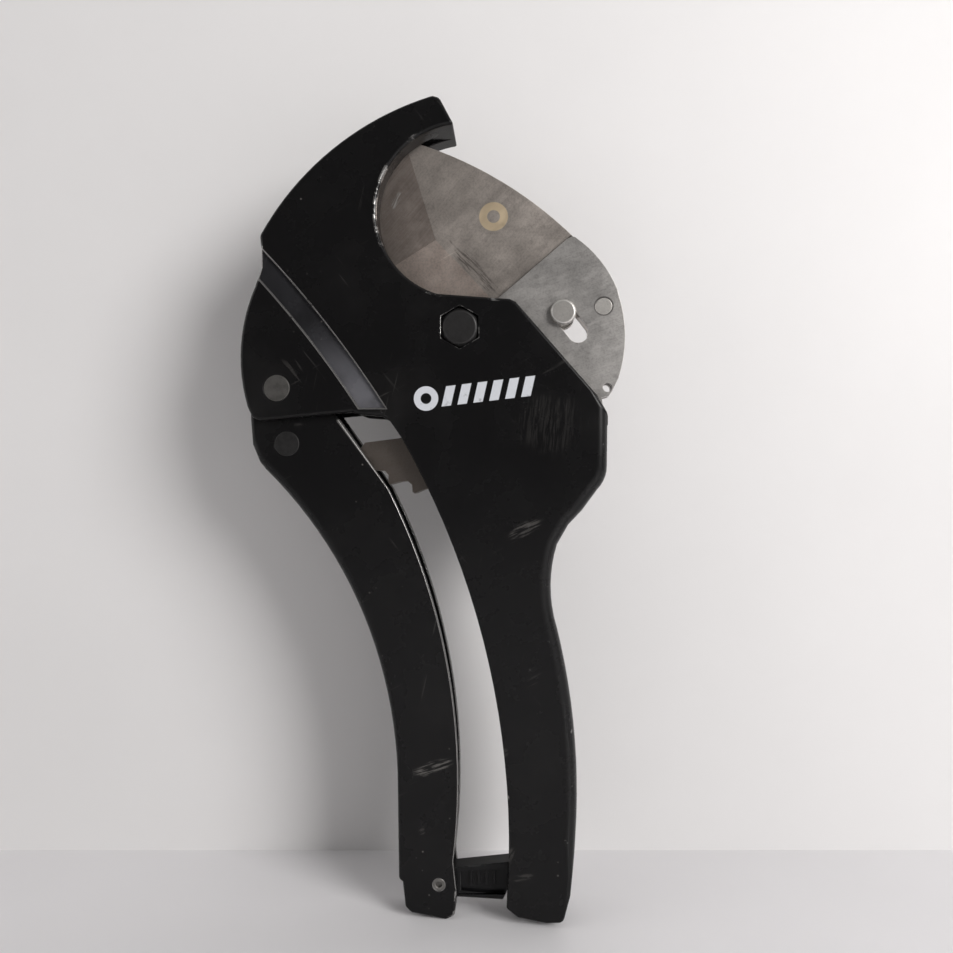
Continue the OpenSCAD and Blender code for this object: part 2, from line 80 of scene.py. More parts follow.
class PipeCutterSettings(bpy.types.PropertyGroup):
    """Sizes and colours of the pipe cutter's looks."""

    rim_radius: bpy.props.FloatProperty(
        name="Rim radius", description="Rounding of the casting's outer rims", default=1.3 * MM,
        min=0.2 * MM, max=2 * MM, unit="LENGTH")
    back_radius: bpy.props.FloatProperty(
        name="Back radius", description="Rounding along the back of the fixed handle", default=4.4 * MM,
        min=1 * MM, max=5 * MM, unit="LENGTH")
    handle_radius: bpy.props.FloatProperty(
        name="Handle radius", description="Rounding along the outside of the moving handle", default=3.4 * MM,
        min=1 * MM, max=4 * MM, unit="LENGTH")
    groove_radius: bpy.props.FloatProperty(
        name="Groove radius", description="Rounding of the diagonal groove's rims", default=0.4 * MM,
        min=0.1 * MM, max=0.6 * MM, unit="LENGTH")
    small_radius: bpy.props.FloatProperty(
        name="Small radius", description="Rounding of pockets, holes and thin edges", default=0.25 * MM,
        min=0.05 * MM, max=0.4 * MM, unit="LENGTH")
    steel_radius: bpy.props.FloatProperty(
        name="Steel edge", description="Rounding of the edges of steel parts", default=0.15 * MM,
        min=0.03 * MM, max=0.3 * MM, unit="LENGTH")
    paint: bpy.props.FloatVectorProperty(
        name="Paint", description="Black paint of both castings", default=(0.0062, 0.0060, 0.0063),
        subtype="COLOR", min=0, max=1)
    bare_metal: bpy.props.FloatVectorProperty(
        name="Bare metal", description="Cast metal where the paint is worn through", default=(0.24, 0.235, 0.23),
        subtype="COLOR", min=0, max=1)
    dust: bpy.props.FloatVectorProperty(
        name="Dust", description="Dust and pale scuffs on the paint", default=(0.2, 0.19, 0.18),
        subtype="COLOR", min=0, max=1)
    print_ink: bpy.props.FloatVectorProperty(
        name="Printed mark", description="Ink of the plain mark printed on the head", default=(0.62, 0.64, 0.68),
        subtype="COLOR", min=0, max=1)
    blade: bpy.props.FloatVectorProperty(
        name="Blade", description="Flat faces of the blade", default=(0.5, 0.45, 0.41),
        subtype="COLOR", min=0, max=1)
    facet: bpy.props.FloatVectorProperty(
        name="Ground facets", description="Ground facets of the blade", default=(0.52, 0.43, 0.38),
        subtype="COLOR", min=0, max=1)
    carrier: bpy.props.FloatVectorProperty(
        name="Carrier", description="Plates that carry the blade", default=(0.42, 0.405, 0.39),
        subtype="COLOR", min=0, max=1)
    ratchet: bpy.props.FloatVectorProperty(
        name="Ratchet", description="Heat-treated teeth and pawls", default=(0.085, 0.066, 0.052),
        subtype="COLOR", min=0, max=1)
    fastener: bpy.props.FloatVectorProperty(
        name="Fasteners", description="Worn zinc of rivets, pins and studs", default=(0.56, 0.54, 0.51),
        subtype="COLOR", min=0, max=1)
    dark_fastener: bpy.props.FloatVectorProperty(
        name="Dark fasteners", description="Blackened bolt, nut and lower rivet", default=(0.035, 0.034, 0.034),
        subtype="COLOR", min=0, max=1)
    latch: bpy.props.FloatVectorProperty(
        name="Latch", description="Moulded latch", default=(0.005, 0.005, 0.0055),
        subtype="COLOR", min=0, max=1)
    wall: bpy.props.FloatVectorProperty(
        name="Wall", description="Wall behind the tool", default=(0.8, 0.79, 0.79),
        subtype="COLOR", min=0, max=1)
    table: bpy.props.FloatVectorProperty(
        name="Table", description="Table under the tool", default=(0.76, 0.75, 0.765),
        subtype="COLOR", min=0, max=1)
    key_power: bpy.props.FloatProperty(
        name="Key light", description="Power of the large light at the upper right", default=13.5, min=0)
    camera_lens: bpy.props.FloatProperty(
        name="Lens", description="Focal length of the camera", default=28.8, min=10, max=200)
    camera_turn: bpy.props.FloatProperty(
        name="Camera turn", description="Turn of the camera about the upright axis", default=math.radians(3),
        subtype="ANGLE")


# ---- Node helpers ----

def add_node(tree, kind, inputs=None, **settings):
    """Adds a node, sets its properties, and fills its inputs with values or with other nodes' sockets."""
    node = tree.nodes.new(kind)
    for name, value in settings.items():
        setattr(node, name, value)
    for name, value in (inputs or {}).items():
        if isinstance(value, bpy.types.NodeSocket):
            tree.links.new(value, node.inputs[name])
        else:
            node.inputs[name].default_value = value
    return node


def maths(tree, operation, first, second=0.0, third=0.0, clamp=False):
    """The result socket of a Math node."""
    return add_node(tree, "ShaderNodeMath", {0: first, 1: second, 2: third},
                    operation=operation, use_clamp=clamp).outputs[0]


def vector_maths(tree, operation, first, second=(0, 0, 0)):
    """The result socket of a Vector Math node."""
    node = add_node(tree, "ShaderNodeVectorMath", {0: first, 1: second}, operation=operation)
    return node.outputs["Value" if operation in ("LENGTH", "DOT_PRODUCT") else "Vector"]


def smooth_range(tree, value, low, high, to_low=0.0, to_high=1.0):
    """A value carried smoothly from one range to another."""
    return add_node(tree, "ShaderNodeMapRange", {"Value": value, "From Min": low, "From Max": high,
                    "To Min": to_low, "To Max": to_high}, interpolation_type="SMOOTHSTEP").outputs["Result"]


def blend(tree, factor, first, second):
    """A mix of two colours."""
    node = add_node(tree, "ShaderNodeMix", data_type="RGBA")
    for index, value in ((0, factor), (6, first), (7, second)):
        if isinstance(value, bpy.types.NodeSocket):
            tree.links.new(value, node.inputs[index])
        else:
            node.inputs[index].default_value = value if index == 0 else (*value[:3], 1)
    return node.outputs[2]


def noise(tree, vector, scale, detail=3.0, roughness=0.5):
    """The value of a noise texture."""
    return add_node(tree, "ShaderNodeTexNoise", {"Vector": vector, "Scale": scale, "Detail": detail,
                    "Roughness": roughness}).outputs[0]


def new_group(name, inputs, outputs):
    """An empty shader node group with the named sockets, as (tree, its inputs by name, its output node)."""
    tree = bpy.data.node_groups.new(name, "ShaderNodeTree")
    for label, kind, default in inputs:
        socket = tree.interface.new_socket(name=label, in_out="INPUT", socket_type=kind)
        if default is not None:
            socket.default_value = default
    for label in outputs:
        tree.interface.new_socket(name=label, in_out="OUTPUT", socket_type="NodeSocketFloat")
    start = tree.nodes.new("NodeGroupInput")
    end = tree.nodes.new("NodeGroupOutput")
    return tree, start.outputs, end


def use_group(tree, name, inputs, output=0):
    """The output socket of a group placed in a material."""
    node = add_node(tree, "ShaderNodeGroup", node_tree=bpy.data.node_groups[name])
    for label, value in inputs.items():
        if isinstance(value, bpy.types.NodeSocket):
            tree.links.new(value, node.inputs[label])
        else:
            node.inputs[label].default_value = value
    return node.outputs[output]


VECTOR = "NodeSocketVector"
FLOAT = "NodeSocketFloat"


def make_groups():
    """The shader node groups that the materials share."""
    # Dust: sparse bright specks in drifts, and a thin film
    tree, given, end = new_group("Dust", [("Vector", VECTOR, None), ("Amount", FLOAT, 0.5)], ["Specks", "Film"])
    cells = add_node(tree, "ShaderNodeTexVoronoi", {"Vector": given["Vector"], "Scale": 420.0, "Randomness": 1.0})
    near = smooth_range(tree, cells.outputs["Distance"], 0.2, 0.06)
    chosen = smooth_range(tree, add_node(tree, "ShaderNodeSeparateColor", {0: cells.outputs["Color"]}).outputs[0],
                          0.86, 0.9)
    drifts = smooth_range(tree, noise(tree, given["Vector"], 38.0), 0.5, 0.68)
    specks = maths(tree, "MULTIPLY", maths(tree, "MULTIPLY", near, chosen), drifts)
    tree.links.new(maths(tree, "MULTIPLY", specks, given["Amount"]), end.inputs["Specks"])
    film = smooth_range(tree, noise(tree, given["Vector"], 24.0, 6.0, 0.62), 0.46, 0.78)
    tree.links.new(maths(tree, "MULTIPLY", film, given["Amount"]), end.inputs["Film"])

    # Scratches: fine lines in two directions, only in some places
    tree, given, end = new_group("Scratches", [("Vector", VECTOR, None), ("Amount", FLOAT, 0.5)], ["Mask"])
    total = None
    for turn, across in ((0.5, 900.0), (-0.9, 700.0), (1.35, 1100.0)):
        turned = add_node(tree, "ShaderNodeVectorRotate", {"Vector": given["Vector"], "Angle": turn},
                          rotation_type="Y_AXIS").outputs[0]
        lines = noise(tree, vector_maths(tree, "MULTIPLY", turned, (40.0, 40.0, across)), 1.0, 2.0)
        sharp = smooth_range(tree, lines, 0.69, 0.74)
        total = sharp if total is None else maths(tree, "MAXIMUM", total, sharp)
    gate = smooth_range(tree, noise(tree, given["Vector"], 55.0), 0.52, 0.66)
    tree.links.new(maths(tree, "MULTIPLY", maths(tree, "MULTIPLY", total, gate), given["Amount"]),
                   end.inputs["Mask"])

    # Streaks: long fine grain along one direction of the plan
    tree, given, end = new_group("Streaks", [("Vector", VECTOR, None), ("Angle", FLOAT, 0.0),
                                             ("Fineness", FLOAT, 1.0)], ["Value"])
    turned = add_node(tree, "ShaderNodeVectorRotate", {"Vector": given["Vector"], "Angle": given["Angle"]},
                      rotation_type="Y_AXIS").outputs[0]
    long_grain = noise(tree, vector_maths(tree, "MULTIPLY", turned, (110.0, 400.0, 4200.0)), given["Fineness"], 4.0, 0.6)
    soft = noise(tree, given["Vector"], 300.0, 5.0, 0.65)
    tree.links.new(maths(tree, "ADD", maths(tree, "MULTIPLY", long_grain, 0.55), maths(tree, "MULTIPLY", soft, 0.45)),
                   end.inputs["Value"])

    # Edge wear: paint rubbed through where a piece says that its edges are worn
    tree, given, end = new_group("Edge wear", [("Vector", VECTOR, None), ("Wear", FLOAT, 0.0)], ["Mask"])
    breakup = maths(tree, "ADD", noise(tree, given["Vector"], 160.0, 5.0, 0.6),
                    maths(tree, "MULTIPLY", noise(tree, given["Vector"], 900.0, 2.0), 0.25))
    limit = maths(tree, "SUBTRACT", 1.02, maths(tree, "MULTIPLY", given["Wear"], 0.75))
    tree.links.new(smooth_range(tree, breakup, limit, maths(tree, "ADD", limit, 0.12)), end.inputs["Mask"])

    # Patch of short strokes round one place in the plan: used for rubbed scuffs, and on the blade for a painted
    # highlight
    tree, given, end = new_group("Scuff and glint", [("Vector", VECTOR, None), ("Centre", VECTOR, (0, 0, 0)),
                                           ("Half size", VECTOR, (0.005, 1, 0.002)), ("Angle", FLOAT, 0.0)], ["Mask"])
    away = vector_maths(tree, "SUBTRACT", given["Vector"], given["Centre"])
    turned = add_node(tree, "ShaderNodeVectorRotate", {"Vector": away, "Angle": given["Angle"]},
                      rotation_type="Y_AXIS").outputs[0]
    scaled = vector_maths(tree, "DIVIDE", turned, given["Half size"])
    wobble = maths(tree, "MULTIPLY", noise(tree, given["Vector"], 260.0, 4.0, 0.65), 0.9)
    inside = smooth_range(tree, maths(tree, "ADD", vector_maths(tree, "LENGTH", scaled), wobble), 1.55, 1.05)
    strokes = noise(tree, vector_maths(tree, "MULTIPLY", turned, (130.0, 130.0, 1500.0)), 1.0, 3.0, 0.6)
    tree.links.new(maths(tree, "MULTIPLY", inside, smooth_range(tree, strokes, 0.44, 0.6)), end.inputs["Mask"])

    # Ring and bars: a plain mark made of one ring and three slanted bars
    tree, given, end = new_group("Ring and bars", [("Vector", VECTOR, None), ("Centre", VECTOR, (0, 0, 0)),
                                                   ("Size", FLOAT, 0.004), ("Angle", FLOAT, 0.0)], ["Mask"])
    away = vector_maths(tree, "SUBTRACT", given["Vector"], given["Centre"])
    turned = add_node(tree, "ShaderNodeVectorRotate", {"Vector": away, "Angle": given["Angle"]},
                      rotation_type="Y_AXIS").outputs[0]
    sized = add_node(tree, "ShaderNodeVectorMath", {0: turned, "Scale": maths(tree, "DIVIDE", 1.0, given["Size"])},
                     operation="SCALE").outputs["Vector"]
    flat = vector_maths(tree, "MULTIPLY", sized, (1, 0, 1))
    off_ring = maths(tree, "ABSOLUTE", maths(tree, "SUBTRACT", vector_maths(tree, "LENGTH", flat), 0.72))
    ring = smooth_range(tree, off_ring, 0.3, 0.26)
    part = add_node(tree, "ShaderNodeSeparateXYZ", {0: flat})
    slanted = maths(tree, "SUBTRACT", part.outputs["X"], maths(tree, "MULTIPLY", part.outputs["Z"], 0.35))
    cell = maths(tree, "FRACT", maths(tree, "DIVIDE", maths(tree, "SUBTRACT", slanted, 1.45), 1.3))
    bar = maths(tree, "MULTIPLY", smooth_range(tree, cell, 0.0, 0.02), smooth_range(tree, cell, 0.62, 0.6))
    reach = maths(tree, "MULTIPLY", smooth_range(tree, slanted, 1.44, 1.46), smooth_range(tree, slanted, 9.2, 9.18))
    height = smooth_range(tree, maths(tree, "ABSOLUTE", part.outputs["Z"]), 0.82, 0.78)
    bars = maths(tree, "MULTIPLY", maths(tree, "MULTIPLY", bar, reach), height)
    tree.links.new(maths(tree, "MAXIMUM", ring, bars), end.inputs["Mask"])


def start_material(name):
    """A material with its Principled shader and an Object coordinate socket, as (material, tree, shader, coordinate)."""
    material = bpy.data.materials.new(name)
    material.use_nodes = True
    tree = material.node_tree
    shader = next(n for n in tree.nodes if n.type == "BSDF_PRINCIPLED")
    place = add_node(tree, "ShaderNodeTexCoord").outputs["Object"]
    return material, tree, shader, place


def face_value(tree, name):
    """The socket of a value stored on a mesh's faces."""
    return add_node(tree, "ShaderNodeAttribute", attribute_name=name, attribute_type="GEOMETRY").outputs["Fac"]


def set_bump(tree, shader, height, strength, distance):
    """Links a height to the shader through a Bump node."""
    bump = add_node(tree, "ShaderNodeBump", {"Height": height, "Strength": strength, "Distance": distance})
    tree.links.new(bump.outputs["Normal"], shader.inputs["Normal"])


def paint_material(settings, name, scuffs, marked=False):
    """Black paint with fine orange peel, dust, scratches and scuffs, worn through on worn edges."""
    material, tree, shader, place = start_material(name)
    wear = use_group(tree, "Edge wear", {"Vector": place, "Wear": face_value(tree, "wear")})
    floor = face_value(tree, "floor")
    specks = use_group(tree, "Dust", {"Vector": place, "Amount": 0.8}, "Specks")
    film = use_group(tree, "Dust", {"Vector": place, "Amount": 1.0}, "Film")
    lines = use_group(tree, "Scratches", {"Vector": place, "Amount": 0.6})
    rubbed = None
    for centre, half, angle, strength in scuffs:
        mask = use_group(tree, "Scuff and glint", {"Vector": place, "Centre": (centre[0] * MM, 0, centre[1] * MM),
                         "Half size": (half[0] * MM, 1, half[1] * MM), "Angle": math.radians(angle)})
        mask = maths(tree, "MULTIPLY", mask, strength)
        rubbed = mask if rubbed is None else maths(tree, "MAXIMUM", rubbed, mask)
    # the groove floor is painted a mottled lighter grey, growing lighter towards its lower end
    rows = smooth_range(tree, add_node(tree, "ShaderNodeSeparateXYZ", {0: place}).outputs["Z"],
                        -38 * MM, -69 * MM, 0.02, 0.13)
    floor_grey = add_node(tree, "ShaderNodeCombineColor", {0: rows, 1: rows, 2: maths(tree, "MULTIPLY", rows, 1.1)})
    mottled = maths(tree, "MULTIPLY", floor, smooth_range(tree, noise(tree, place, 90.0, 5.0), 0.25, 0.6, 0.55, 1.0))
    colour = blend(tree, mottled, tuple(settings.paint), floor_grey.outputs[0])
    colour = blend(tree, maths(tree, "MULTIPLY", film, 0.02), colour, tuple(settings.dust))
    colour = blend(tree, maths(tree, "MULTIPLY", lines, 0.16), colour, tuple(settings.dust))
    colour = blend(tree, maths(tree, "MULTIPLY", specks, 0.75), colour, tuple(settings.dust))
    if rubbed is not None:
        colour = blend(tree, maths(tree, "MULTIPLY", rubbed, 0.55, clamp=True), colour, tuple(settings.dust))
    if marked:
        ink = use_group(tree, "Ring and bars", {"Vector": place, "Centre": (-12.8 * MM, 0, -66.0 * MM),
                        "Size": 4.3 * MM, "Angle": math.radians(6.5)})
        front = smooth_range(tree, add_node(tree, "ShaderNodeSeparateXYZ", {0: place}).outputs["Y"],
                             -9.9 * MM, -9.95 * MM)
        ink = maths(tree, "MULTIPLY", ink, front)
        patchy = smooth_range(tree, noise(tree, place, 420.0, 4.0, 0.6), 0.2, 0.42, 0.55, 1.0)
        colour = blend(tree, maths(tree, "MULTIPLY", ink, patchy), colour, tuple(settings.print_ink))
    colour = blend(tree, wear, colour, tuple(settings.bare_metal))
    tree.links.new(colour, shader.inputs["Base Color"])
    cloud = noise(tree, place, 45.0, 5.0, 0.6)
    rough = maths(tree, "ADD", smooth_range(tree, cloud, 0.3, 0.75, 0.22, 0.33), maths(tree, "MULTIPLY", film, 0.08))
    tree.links.new(rough, shader.inputs["Roughness"])
    tree.links.new(maths(tree, "MULTIPLY", wear, 0.75), shader.inputs["Metallic"])
    shader.inputs["Specular IOR Level"].default_value = 0.2
    peel = maths(tree, "ADD", noise(tree, place, 700.0, 2.0), maths(tree, "MULTIPLY", lines, -0.6))
    peel = maths(tree, "SUBTRACT", peel, maths(tree, "MULTIPLY", wear, 0.8))
    peel = maths(tree, "ADD", peel, maths(tree, "MULTIPLY", noise(tree, place, 120.0, 3.0), 0.8))
    set_bump(tree, shader, peel, 0.35, 0.05 * MM)
    return material


def steel_material(settings, name, colour, grain_angle, roughness=0.36, metallic=0.85, dirt=0.5, blade=False,
                   darker_centre=None, seams=()):
    """Steel with streaked grain, smudges, scratches and brighter worn edges; painted shade with some dirt along given
    seams, a darker patch round a given place, and on the blade facets painted lighter and darker and a painted
    highlight.
    """
    material, tree, shader, place = start_material(name)
    grain = use_group(tree, "Streaks", {"Vector": place, "Angle": math.radians(grain_angle), "Fineness": 1.0})
    lines = use_group(tree, "Scratches", {"Vector": place, "Amount": 0.9})
    specks = use_group(tree, "Dust", {"Vector": place, "Amount": dirt}, "Specks")
    edge = face_value(tree, "wear")
    base = tuple(colour)
    if blade:
        ground = face_value(tree, "ground")
        fine = use_group(tree, "Streaks", {"Vector": place, "Angle": math.radians(48), "Fineness": 0.55})
        calm = maths(tree, "ADD", maths(tree, "MULTIPLY", fine, 0.5), 0.25)
        grain = add_node(tree, "ShaderNodeMix", {0: ground, 2: grain, 3: calm}).outputs[0]
        # painted light and shade: the two ground facets are one steel; the lower facet is painted lighter and the upper
        # one darker, as the light falls on them
        low = face_value(tree, "lit_lower_facet")
        facet = blend(tree, low, tuple(0.6 * c for c in settings.facet), tuple(1.12 * c for c in settings.facet))
        base = blend(tree, ground, base, facet)
    clouds = noise(tree, place, 62.0, 6.0, 0.62)
    stain = smooth_range(tree, clouds, 0.38, 0.72, 0.0, dirt)
    patches = smooth_range(tree, noise(tree, place, 260.0, 6.0, 0.75), 0.42, 0.7, 0.0, dirt * 0.7)
    colour_now = blend(tree, maths(tree, "MULTIPLY", stain, 0.28), base, tuple(0.42 * c for c in colour))
    pits = smooth_range(tree, noise(tree, place, 1300.0, 3.0, 0.7), 0.44, 0.62)
    colour_now = blend(tree, maths(tree, "MULTIPLY", pits, 0.3), colour_now, tuple(0.35 * c for c in colour))
    colour_now = blend(tree, maths(tree, "MULTIPLY", patches, 0.5), colour_now, tuple(0.5 * c for c in colour))
    lighter = tuple(min(1.0, 1.35 * c) for c in colour)
    colour_now = blend(tree, smooth_range(tree, grain, 0.38, 0.62, 0.0, 0.3), colour_now, lighter)
    colour_now = blend(tree, maths(tree, "MULTIPLY", lines, 0.35), colour_now, tuple(min(1.0, 1.7 * c) for c in colour))
    colour_now = blend(tree, maths(tree, "MULTIPLY", specks, 0.5), colour_now, (0.05, 0.04, 0.035))
    # painted shade: a dark band along the edge of the plate that lies over the blade, and a dark ring round the carrier
    # rivet, where shade falls in these seams, with some dirt
    if seams:
        for (x, z), angle in seams:
            offset = vector_maths(tree, "SUBTRACT", place, (x * MM, 0, z * MM))
            parts = add_node(tree, "ShaderNodeSeparateXYZ", {0: offset})
            if angle is None:
                off_seam = vector_maths(tree, "LENGTH", vector_maths(tree, "MULTIPLY", offset, (1, 0, 1)))
                off_seam = maths(tree, "ABSOLUTE", maths(tree, "SUBTRACT", off_seam, 2.85 * MM))
            else:
                off_seam = maths(tree, "SUBTRACT", maths(tree, "MULTIPLY", parts.outputs["Z"], math.cos(angle)),
                                 maths(tree, "MULTIPLY", parts.outputs["X"], math.sin(angle)))
                off_seam = maths(tree, "ABSOLUTE", off_seam)
            seam_shade_and_grime = smooth_range(tree, off_seam, 0.9 * MM, 0.2 * MM)
            colour_now = blend(tree, maths(tree, "MULTIPLY", seam_shade_and_grime, 0.85), colour_now, (0.03, 0.027, 0.025))
    # darker towards the toothed rim: the ratchet colour is blended in within about 30 to 44 mm of the given place
    if darker_centre:
        away = vector_maths(tree, "SUBTRACT", place, (darker_centre[0] * MM, 0, darker_centre[1] * MM))
        away = vector_maths(tree, "LENGTH", vector_maths(tree, "MULTIPLY", away, (1, 0, 1)))
        away = maths(tree, "ADD", away, smooth_range(tree, clouds, 0.3, 0.7, -4 * MM, 4 * MM))
        darker_near = smooth_range(tree, away, 44 * MM, 30 * MM)
        colour_now = blend(tree, maths(tree, "MULTIPLY", darker_near, 0.85), colour_now, tuple(settings.ratchet))
    colour_now = blend(tree, maths(tree, "MULTIPLY", edge, 0.6), colour_now, tuple(min(1.0, 1.6 * c) for c in colour))
    if blade:
        rubbed = use_group(tree, "Scuff and glint", {"Vector": place, "Centre": (3.2 * MM, 0, -18.4 * MM),
                           "Half size": (13 * MM, 1, 2.6 * MM), "Angle": math.radians(-47)})
        flat = maths(tree, "SUBTRACT", 1.0, ground)
        rubbed = maths(tree, "MULTIPLY", rubbed, flat)
        colour_now = blend(tree, maths(tree, "MULTIPLY", rubbed, 0.6), colour_now, (0.06, 0.05, 0.045))
        # painted highlight: a small pale streak on the upper ground facet, standing for a reflection of the light
        painted_glint = use_group(tree, "Scuff and glint", {"Vector": place, "Centre": (-24.7 * MM, 0, 7.0 * MM),
                          "Half size": (3.4 * MM, 1, 1.3 * MM), "Angle": math.radians(62)})
        painted_glint = maths(tree, "MULTIPLY", painted_glint, ground)
        colour_now = blend(tree, maths(tree, "MULTIPLY", painted_glint, 0.7), colour_now, (0.75, 0.74, 0.72))
        etched = use_group(tree, "Ring and bars", {"Vector": place, "Centre": (10.6 * MM, 0, 0.2 * MM),
                           "Size": 5.2 * MM, "Angle": math.radians(20)})
        part = add_node(tree, "ShaderNodeSeparateXYZ", {0: place})
        near = smooth_range(tree, part.outputs["X"], 16.6 * MM, 16.5 * MM)
        etched = maths(tree, "MULTIPLY", maths(tree, "MULTIPLY", etched, near),
                       smooth_range(tree, part.outputs["Y"], -1.4 * MM, -1.45 * MM))
        colour_now = blend(tree, maths(tree, "MULTIPLY", etched, 0.8), colour_now, (0.95, 0.76, 0.5))
    tree.links.new(colour_now, shader.inputs["Base Color"])
    rough = maths(tree, "ADD", smooth_range(tree, clouds, 0.3, 0.75, roughness - 0.07, roughness + 0.12),
                  smooth_range(tree, grain, 0.3, 0.7, -0.03, 0.05))
    tree.links.new(rough, shader.inputs["Roughness"])
    shader.inputs["Metallic"].default_value = metallic
    height = maths(tree, "SUBTRACT", grain, maths(tree, "MULTIPLY", lines, 0.5))
    set_bump(tree, shader, height, 0.3, 0.02 * MM)
    return material


def round_head_material(settings, name, colour, centre, roughness=0.42, metallic=0.7):
    """Worn metal of a rivet or bolt head: turned rings about its centre, dents, darker clouds, scratches and brighter
    worn edges.
    """
    material, tree, shader, place = start_material(name)
    away = vector_maths(tree, "SUBTRACT", place, (centre[0] * MM, 0, centre[1] * MM))
    radius = vector_maths(tree, "LENGTH", vector_maths(tree, "MULTIPLY", away, (1, 0, 1)))
    rings = noise(tree, add_node(tree, "ShaderNodeCombineXYZ", {"X": maths(tree, "MULTIPLY", radius, 2600.0)}).outputs[0],
                  1.0, 2.0)
    dents = noise(tree, place, 750.0, 4.0, 0.6)
    lines = use_group(tree, "Scratches", {"Vector": place, "Amount": 1.0})
    edge = face_value(tree, "wear")
    clouds = noise(tree, place, 240.0, 5.0, 0.65)
    base = tuple(colour)
    colour_now = blend(tree, smooth_range(tree, clouds, 0.35, 0.7, 0.0, 0.75), base, tuple(0.4 * c for c in base))
    colour_now = blend(tree, maths(tree, "MULTIPLY", lines, 0.5), colour_now, tuple(min(1.0, 1.8 * c) for c in base))
    colour_now = blend(tree, maths(tree, "MULTIPLY", edge, 0.5), colour_now, tuple(min(1.0, 1.9 * c) for c in base))
    tree.links.new(colour_now, shader.inputs["Base Color"])
    tree.links.new(smooth_range(tree, clouds, 0.3, 0.7, roughness - 0.08, roughness + 0.15), shader.inputs["Roughness"])
    shader.inputs["Metallic"].default_value = metallic
    height = maths(tree, "ADD", maths(tree, "MULTIPLY", rings, 0.5), dents)
    set_bump(tree, shader, height, 0.5, 0.05 * MM)
    return material


def plastic_material(settings):
    """Moulded nylon with a fine spark-eroded grain, flow marks and rubbed edges."""
    material, tree, shader, place = start_material("Moulded nylon")
    grain = noise(tree, place, 1500.0, 3.0, 0.6)
    flow = noise(tree, vector_maths(tree, "MULTIPLY", place, (60.0, 200.0, 260.0)), 1.0, 4.0)
    edge = use_group(tree, "Edge wear", {"Vector": place, "Wear": face_value(tree, "wear")})
    specks = use_group(tree, "Dust", {"Vector": place, "Amount": 1.0}, "Specks")
    base = tuple(settings.latch)
    colour = blend(tree, smooth_range(tree, flow, 0.35, 0.7, 0.0, 0.5), base, tuple(2.2 * c for c in base))
    colour = blend(tree, maths(tree, "MULTIPLY", edge, 0.3), colour, (0.09, 0.09, 0.09))
    colour = blend(tree, maths(tree, "MULTIPLY", specks, 0.6), colour, tuple(settings.dust))
    tree.links.new(colour, shader.inputs["Base Color"])
    tree.links.new(smooth_range(tree, flow, 0.3, 0.7, 0.3, 0.42), shader.inputs["Roughness"])
    shader.inputs["Specular IOR Level"].default_value = 0.25
    set_bump(tree, shader, grain, 0.4, 0.03 * MM)
    return material


# ---- Mesh helpers ----

def only(piece):
    """Makes one object the only one selected, and active."""
    bpy.ops.object.select_all(action="DESELECT")
    piece.select_set(True)
    bpy.context.view_layer.objects.active = piece


def copy_of(node, name):
    """A free copy of a CAD node with its own mesh, its corners merged and its flat faces joined."""
    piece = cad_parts[node].copy()
    piece.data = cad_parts[node].data.copy()
    piece.name = name
    piece.parent = None
    for key in list(piece.keys()):
        del piece[key]
    bpy.context.scene.collection.objects.link(piece)
    piece.data.materials.clear()
    only(piece)
    if piece.data.has_custom_normals:
        bpy.ops.mesh.customdata_custom_splitnormals_clear()
    bpy.ops.object.mode_set(mode="EDIT")
    bpy.ops.mesh.select_all(action="SELECT")
    bpy.ops.mesh.remove_doubles(threshold=0.002 * MM)
    bpy.ops.mesh.dissolve_limited(angle_limit=math.radians(0.4))
    bpy.ops.object.mode_set(mode="OBJECT")
    return piece


def hard_edges(mesh, least=28.0):
    """Each edge between two faces that meet at more than the least angle, as (edge, middle in mm, runs along Y, convex)."""
    faces = {}
    for face in mesh.polygons:
        for key in face.edge_keys:
            faces.setdefault(key, []).append(face)
    limit = math.cos(math.radians(least))
    found = []
    for edge in mesh.edges:
        pair = faces.get(tuple(sorted(edge.vertices)), [])
        if len(pair) != 2 or pair[0].normal.dot(pair[1].normal) > limit:
            continue
        start, stop = (mesh.vertices[i].co for i in edge.vertices)
        inward = pair[0].normal.cross(pair[1].normal)
        # the side of the first face on which the second one lies
        along = (stop - start).normalized()
        turn = Vector(along).cross(pair[0].normal)
        probe = sum((mesh.vertices[i].co for i in pair[0].vertices), Vector()) / len(pair[0].vertices)
        if turn.dot(probe - start) < 0:
            turn.negate()
        convex = turn.dot(pair[1].normal) < 0
        del inward
        found.append((edge, (start + stop) / 2 / MM, abs(along.y) > 0.7, convex))
    return found


def soften(node, name, body, material, width, wear=None, segments=3, least=28.0):
    """A copy of a CAD node with rounded edges, standing for it. width(middle, along_y, convex) gives each edge's
    rounding in metres, and wear(middle) how worn the rounded faces are."""
    piece = copy_of(node, name)
    mesh = piece.data
    mesh.materials.append(material)
    mesh.materials.append(material)
    widths = {}
    for edge, middle, along_y, convex in hard_edges(mesh, least):
        size = width(middle, along_y, convex)
        if size > 0:
            widths[edge.index] = size
    largest = max(widths.values())
    weights = mesh.attributes.get("bevel_weight_edge") or mesh.attributes.new("bevel_weight_edge", "FLOAT", "EDGE")
    values = [0.0] * len(mesh.edges)
    for index, size in widths.items():
        values[index] = size / largest
    weights.data.foreach_set("value", values)
    only(piece)
    rounding = piece.modifiers.new("Rounding", "BEVEL")
    rounding.limit_method = "WEIGHT"
    rounding.offset_type = "OFFSET"
    rounding.width = largest
    rounding.segments = segments
    rounding.material = 1
    rounding.use_clamp_overlap = False
    rounding.loop_slide = False
    bpy.ops.object.modifier_apply(modifier=rounding.name)
    finish_piece(piece, node, body, wear)
    return piece


def store_on_faces(mesh, name, value_of):
    """Stores a value on every face."""
    values = mesh.attributes.new(name, "FLOAT", "FACE")
    values.data.foreach_set("value", [value_of(face) for face in mesh.polygons])


